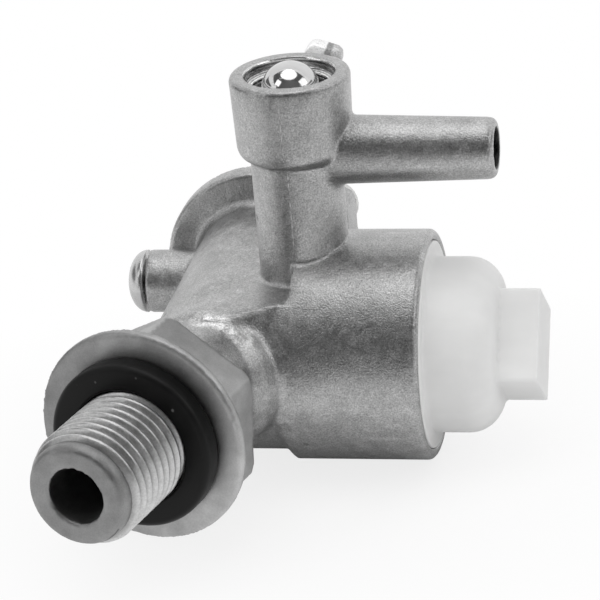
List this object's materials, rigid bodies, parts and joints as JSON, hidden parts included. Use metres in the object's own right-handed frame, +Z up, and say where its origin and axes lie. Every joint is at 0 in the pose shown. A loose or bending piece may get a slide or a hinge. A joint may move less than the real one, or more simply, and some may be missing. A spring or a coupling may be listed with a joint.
{
  "type": "fuel tap",
  "caption": "Die-cast fuel tap with a threaded tank stud, lever valve, screwed sediment bowl with a key end, balled outlet column and hose spigot.",
  "frame": {"origin": "centre of the tank flange's seat, where the stud's axis crosses the flange's front face", "axes": "+X along the sediment bowl's chamber and the hose spigot, towards their open ends; +Z up the outlet column; +Y towards the lever valve. The stud leaves towards -Y, turned 14.7 degrees about Z towards -X"},
  "size_m": [0.0396, 0.0536, 0.0357],
  "materials": {
    "cast_zinc": "as-cast zinc alloy, dull and grainy",
    "black_rubber": "smooth nitrile rubber",
    "bright_steel": "polished steel",
    "plated_steel": "zinc plated",
    "white_nylon": "milky moulded nylon",
    "gauze": "fine nylon gauze"
  },
  "bodies": {
    "housing": {"tap_casting": "cast_zinc", "tank_seal": "black_rubber", "gallery_ball": "bright_steel", "cross_plug": "bright_steel", "valve_seal": "black_rubber", "wave_washer": "plated_steel", "lever_cover": "plated_steel", "cover_screw_upper": "plated_steel", "cover_screw_lower": "plated_steel", "strainer_cage": "white_nylon", "strainer_gauze": "gauze"},
    "valve_lever": {"lever": "cast_zinc"},
    "bowl_ring": {"bowl_seal": "black_rubber"},
    "bowl": {"sediment_bowl": "white_nylon"}
  },
  "joints": [
    {"name": "lever_turn", "type": "hinge", "parent": "housing", "child": "valve_lever", "pos_m": [0.0033, 0.0385, -0.00015], "axis": [0, 1, 0], "range_deg": [-90, 0]},
    {"name": "bowl_slide", "type": "slide", "parent": "housing", "child": "bowl_ring", "axis": [1, 0, 0], "range_m": [0, 0.006]},
    {"name": "bowl_unscrew", "type": "hinge", "parent": "bowl_ring", "child": "bowl", "pos_m": [0.022, 0.02073, -0.001], "axis": [1, 0, 0], "range_deg": [0, 2160]}
  ],
  "couplings": [
    {"joint": "bowl_unscrew", "follows": "bowl_slide", "rad_per_m": 6283.2}
  ]
}
